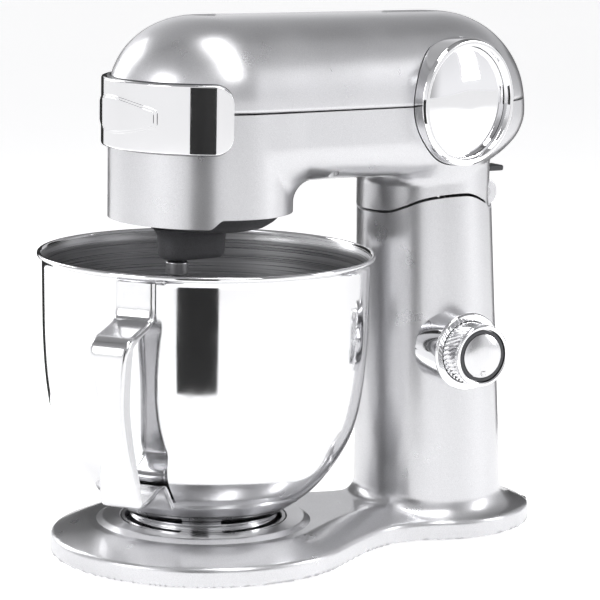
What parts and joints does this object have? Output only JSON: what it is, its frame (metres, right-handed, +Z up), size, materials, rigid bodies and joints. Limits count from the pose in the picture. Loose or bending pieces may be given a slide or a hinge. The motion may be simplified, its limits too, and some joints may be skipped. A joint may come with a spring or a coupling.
{
  "type": "stand mixer",
  "caption": "Tilt-head stand mixer with a steel turn-and-lock bowl, side speed dial, chrome front accessory cover and belt-driven planetary head.",
  "frame": {"origin": "on the surface the feet stand on, under the middle of the mixer's box", "axes": "+Z up; -Y towards the nose over the bowl; +X towards the side with the speed dial; X = 0 is the middle plane of base, column and head"},
  "size_m": [0.225, 0.3875, 0.361],
  "materials": {
    "silver_paint": "silver-grey metallic gloss paint",
    "chrome_trim": "polished chrome",
    "polished_stainless": "mirror-polished stainless steel, brushed inside",
    "machined_steel": "machined steel",
    "dark_plastic": "dark grey satin plastic",
    "hub_grey": "dark grey satin",
    "rubber_foot": "black rubber",
    "gear_nylon": "off-white nylon",
    "copper_winding": "lacquered copper",
    "circuit_board": "green board",
    "raw_aluminium": "cast aluminium"
  },
  "bodies": {
    "base": {"base_casting": "silver_paint", "bottom_cover": "dark_plastic", "rubber_foot_1": "rubber_foot", "rubber_foot_2": "rubber_foot", "rubber_foot_3": "rubber_foot", "rubber_foot_4": "rubber_foot", "rubber_foot_5": "rubber_foot", "cord_gland": "dark_plastic", "bowl_clamp_plate": "machined_steel", "dial_collar": "chrome_trim", "speed_sensor": "dark_plastic", "control_board": "circuit_board", "hinge_pin": "machined_steel", "latch_catch": "machined_steel"},
    "dial": {"dial_knob": "chrome_trim", "dial_light_ring": "dark_plastic", "dial_cap": "machined_steel"},
    "head": {"upper_housing": "silver_paint", "lower_housing": "silver_paint", "housing_screw_right": "machined_steel", "housing_screw_left": "machined_steel", "side_trim_ring_right": "chrome_trim", "side_trim_ring_left": "chrome_trim", "side_medallion_right": "chrome_trim", "side_medallion_left": "chrome_trim", "accessory_socket": "raw_aluminium", "gearbox_plate": "raw_aluminium", "gearbox_cover": "raw_aluminium", "ring_gear": "machined_steel", "drive_belt": "rubber_foot", "motor_stator": "machined_steel", "field_winding_lower": "copper_winding", "field_winding_upper": "copper_winding", "motor_bracket_lower": "raw_aluminium", "motor_bracket_upper": "raw_aluminium", "carbon_brush_right": "dark_plastic", "carbon_brush_left": "dark_plastic"},
    "front_cover": {"accessory_cover": "chrome_trim", "cover_plaque": "chrome_trim"},
    "planetary": {"planetary_hub": "hub_grey", "central_shaft": "machined_steel", "main_gear": "machined_steel"},
    "beater": {"beater_shaft": "machined_steel", "beater_pin": "machined_steel", "planet_pinion": "machined_steel", "beater_spring": "machined_steel"},
    "layshaft_body": {"layshaft": "machined_steel", "layshaft_wheel": "gear_nylon"},
    "pulley_body": {"pulley_shaft": "machined_steel", "drive_pulley": "gear_nylon"},
    "motor_body": {"motor_rotor": "copper_winding", "commutator": "copper_winding", "cooling_fan": "dark_plastic", "motor_pulley": "machined_steel"},
    "lever_body": {"release_lever": "dark_plastic", "latch_hook": "machined_steel"},
    "bowl_body": {"bowl": "polished_stainless", "bowl_foot": "polished_stainless", "bowl_handle": "polished_stainless"}
  },
  "joints": [
    {"name": "head_tilt", "type": "hinge", "parent": "base", "child": "head", "pos_m": [0, 0.1382, 0.2365], "axis": [-1, 0, 0], "range_deg": [0, 42]},
    {"name": "dial_turn", "type": "hinge", "parent": "base", "child": "dial", "pos_m": [0.07, 0.0997, 0.134], "axis": [1, 0, 0], "range_deg": [0, 300]},
    {"name": "cover_pull", "type": "slide", "parent": "head", "child": "front_cover", "axis": [0, -1, 0], "range_m": [0, 0.07]},
    {"name": "planetary_spin", "type": "hinge", "parent": "head", "child": "planetary", "pos_m": [0, -0.0683, 0.228], "axis": [0, 0, 1], "continuous": true},
    {"name": "beater_spin", "type": "hinge", "parent": "planetary", "child": "beater", "pos_m": [0, -0.0903, 0.228], "axis": [0, 0, 1], "continuous": true},
    {"name": "layshaft_spin", "type": "hinge", "parent": "head", "child": "layshaft_body", "pos_m": [0, -0.0323, 0.27], "axis": [0, 0, 1], "continuous": true},
    {"name": "pulley_spin", "type": "hinge", "parent": "head", "child": "pulley_body", "pos_m": [0, -0.0683, 0.3], "axis": [0, 0, 1], "continuous": true},
    {"name": "motor_spin", "type": "hinge", "parent": "head", "child": "motor_body", "pos_m": [0, 0.0577, 0.3], "axis": [0, 0, 1], "continuous": true},
    {"name": "release_lift", "type": "hinge", "parent": "head", "child": "lever_body", "pos_m": [0, 0.1357, 0.2502], "axis": [1, 0, 0], "range_deg": [0, 7], "stiffness_Nm_per_rad": 1},
    {"name": "bowl_twist", "type": "hinge", "parent": "base", "child": "bowl_body", "pos_m": [0, -0.0683, 0.017], "axis": [0, 0, 1], "range_deg": [0, 28]}
  ],
  "couplings": [
    {"joint": "beater_spin", "follows": "planetary_spin", "ratio": -3},
    {"joint": "layshaft_spin", "follows": "planetary_spin", "ratio": -3},
    {"joint": "pulley_spin", "follows": "planetary_spin", "ratio": 9},
    {"joint": "motor_spin", "follows": "planetary_spin", "ratio": 36}
  ]
}
